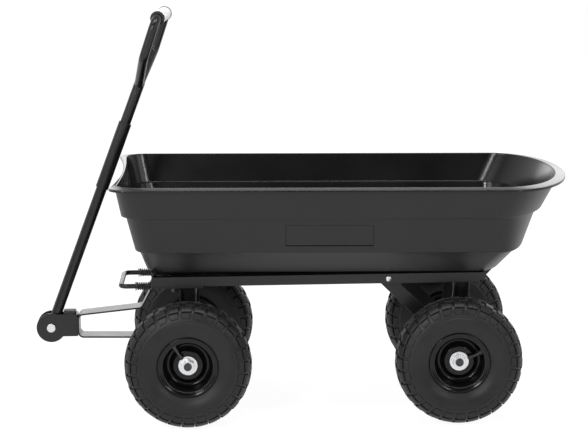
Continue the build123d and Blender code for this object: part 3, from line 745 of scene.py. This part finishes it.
beam_low, beam_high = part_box("head_beam")
split = (beam_low + beam_high) / 2
# the head's black coat is painted shade for the dark gap above the rail
for name, finish, upper in (("kingpin_head", "frame_paint", True), ("kingpin_nut", "axle_steel", False)):
    pin = copied("kingpin")
    whole = pin.verts[:] + pin.edges[:] + pin.faces[:]
    bmesh.ops.bisect_plane(pin, geom=whole, plane_co=split, plane_no=(0, 0, 1),
                           clear_inner=upper, clear_outer=not upper)
    bmesh.ops.holes_fill(pin, edges=[edge for edge in pin.edges if edge.is_boundary], sides=0)
    soften(pin, KINGPIN_EDGE * MM)
    set_piece(pin, name, "chassis", finish, instead_of=["kingpin"] if upper else ())

clevis_bolt = copied("clevis_pin")
soften(clevis_bolt, CLEVIS_PIN_EDGE * MM, least=60)
set_piece(clevis_bolt, "soft_clevis_pin", "steering", "zinc_steel", instead_of=["clevis_pin"])

DOME = [(0, 0), (0, 6), (1.0, 6), (1.2, 5.9), (2.6, 5.0), (3.5, 3.4), (3.9, 1.6), (4, 0)]
for side, tag in SIDES:
    low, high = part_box(f"brace_bolt_{tag}")
    foot = Vector(((low.x + high.x) / 2, low.y if side > 0 else high.y, (low.z + high.z) / 2))
    turned(DOME, foot, (0, side, 0), f"domed_bolt_{tag}", "chassis", "zinc_steel",
           instead_of=[f"brace_bolt_{tag}"])


# %% [markdown]
# ## Latch springs
# The push bar is held out by a compression spring on each of its two rods, between two
# washers, and a split pin stops the spring. A spring is a small circle spun round the
# rod while it moves along it. A curve with a bevel would also do it, but a spun circle
# keeps even quads and ends that can be closed. The spring is fixed where it is built and
# rides on neither the bar nor the chassis.

# %% Springs
SPRING_START, SPRING_LENGTH, TURNS = 40.0, 27.0, 7
WIRE, COIL, TURN_STEPS = 1.3, 7.2, 18
# places along the rod, in mm from where the spring starts, and the pin's foot below it
FRONT_WASHER, BACK_WASHER, PIN, PIN_FOOT = -2.4, SPRING_LENGTH + 1.2, -4.6, -9
WASHER = [(0, 5.1), (0, 9.0), (0.2, 9.2), (1.0, 9.2), (1.2, 9.0), (1.2, 5.1)]
SPLIT_PIN = [(0, 0), (0, 1.2), (17.0, 1.2), (18.2, 0.9), (18.8, 0)]
bar_low, bar_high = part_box("latch_bar")
rod_radius = (bar_high.z - bar_low.z) / 2
rod_height = (bar_high.z + bar_low.z) / 2
for side, tag in SIDES:
    across = bar_low.y + rod_radius if side < 0 else bar_high.y - rod_radius
    start = Vector((bar_low.x + SPRING_START * MM, across, rod_height))
    stop = start + Vector((SPRING_LENGTH * MM, 0, 0))
    coil = bmesh.new()
    bmesh.ops.create_circle(coil, segments=8, radius=WIRE * MM)
    bmesh.ops.transform(coil, matrix=Matrix.Translation(start + Vector((0, 0, COIL * MM)))
                        @ Matrix.Rotation(pi / 2, 4, "X"), verts=coil.verts)
    steps = TURNS * TURN_STEPS
    bmesh.ops.spin(coil, geom=coil.verts[:] + coil.edges[:], cent=start, axis=(1, 0, 0),
                   angle=TURNS * 2 * pi, dvec=(SPRING_LENGTH * MM / steps, 0, 0), steps=steps)
    bmesh.ops.holes_fill(coil, edges=[edge for edge in coil.edges if edge.is_boundary], sides=0)
    bmesh.ops.recalc_face_normals(coil, faces=coil.faces)
    set_piece(coil, f"latch_spring_{tag}", ("latch", "chassis", start, stop), "axle_steel", smooth=60)
    for place, body, at in (("front", "latch", FRONT_WASHER), ("back", "chassis", BACK_WASHER)):
        foot = start + Vector((at * MM, 0, 0))
        washer = lathe([(a * MM, r * MM) for a, r in WASHER], foot, (1, 0, 0), steps=28, ring=True)
        set_piece(washer, f"spring_washer_{place}_{tag}", body, "axle_steel")
    foot = start + Vector((PIN * MM, 0, PIN_FOOT * MM))
    turned(SPLIT_PIN, foot, (0, 0, 1), f"split_pin_{tag}", "latch", "zinc_steel", steps=12)
print("springs:", TURNS, "turns over", SPRING_LENGTH, "mm")


# %% [markdown]
# ## Grip
# The grip is a sleeve of light grey rubber pushed over the top of the loop, with shallow
# grooves round it for the fingers and a black flange at each end. A line with its
# grooves drawn in is spun round the line between the two flanges.

# %% Grooved grip and handle rivet
ends = [middle("grip_ring_left"), middle("grip_ring_right")]
grip_line = ends[1] - ends[0]
FLANGE, GROOVE_PITCH, GROOVE_SINK = 4.0, 7.0, 0.9
GRIP_OUT, GRIP_IN = 14.0, 9.6
# half widths of a groove at its mouth and its floor, the round of an end, the plain ends
GROOVE_MOUTH, GROOVE_FLOOR, END_ALONG, END_IN, PLAIN_ENDS = 1.5, 0.6, 0.6, 0.4, 8
grip_length = grip_line.length / MM - FLANGE
count = int((grip_length - PLAIN_ENDS) // GROOVE_PITCH)
first = (grip_length - count * GROOVE_PITCH) / 2
groove_radius = GRIP_OUT - GROOVE_SINK
profile = [(0, GRIP_OUT - END_IN), (END_ALONG, GRIP_OUT)]
for number in range(count + 1):
    at = first + number * GROOVE_PITCH
    profile += [(at - GROOVE_MOUTH, GRIP_OUT), (at - GROOVE_FLOOR, groove_radius),
                (at + GROOVE_FLOOR, groove_radius), (at + GROOVE_MOUTH, GRIP_OUT)]
profile += [(grip_length - END_ALONG, GRIP_OUT), (grip_length, GRIP_OUT - END_IN),
            (grip_length, GRIP_IN), (0, GRIP_IN)]
grip_start = ends[0] + grip_line.normalized() * FLANGE / 2 * MM
grooved = lathe([(a * MM, r * MM) for a, r in profile], grip_start, grip_line, steps=48, ring=True)
set_piece(grooved, "grooved_grip", "handle", "grip_rubber", instead_of=["grip"])
print("grip:", round(grip_length), "mm,", count + 1, "grooves")

for tag in ("left", "right"):
    flange = copied(f"grip_ring_{tag}")
    soften(flange, 0.9 * MM)
    set_piece(flange, f"soft_grip_ring_{tag}", "handle", "black_rubber", instead_of=[f"grip_ring_{tag}"])

# the rivet through the upper tube sits in line with the pivot and the sleeve
RIVET_HEIGHT, TUBE_SIDE = 660, 10.8
RIVET = [(-0.8, 0), (-0.8, 3.0), (0.3, 2.9), (1.0, 2.2), (1.4, 1.0), (1.5, 0)]
pivot = middle("clevis_pin")
lean = (middle("handle_sleeve") - pivot).normalized()
rivet_foot = pivot + lean * (RIVET_HEIGHT * MM - pivot.z) / lean.z + Vector((0, -TUBE_SIDE * MM, 0))
turned(RIVET, rivet_foot, (0, -1, 0), "handle_rivet", "handle", "axle_steel", steps=24)
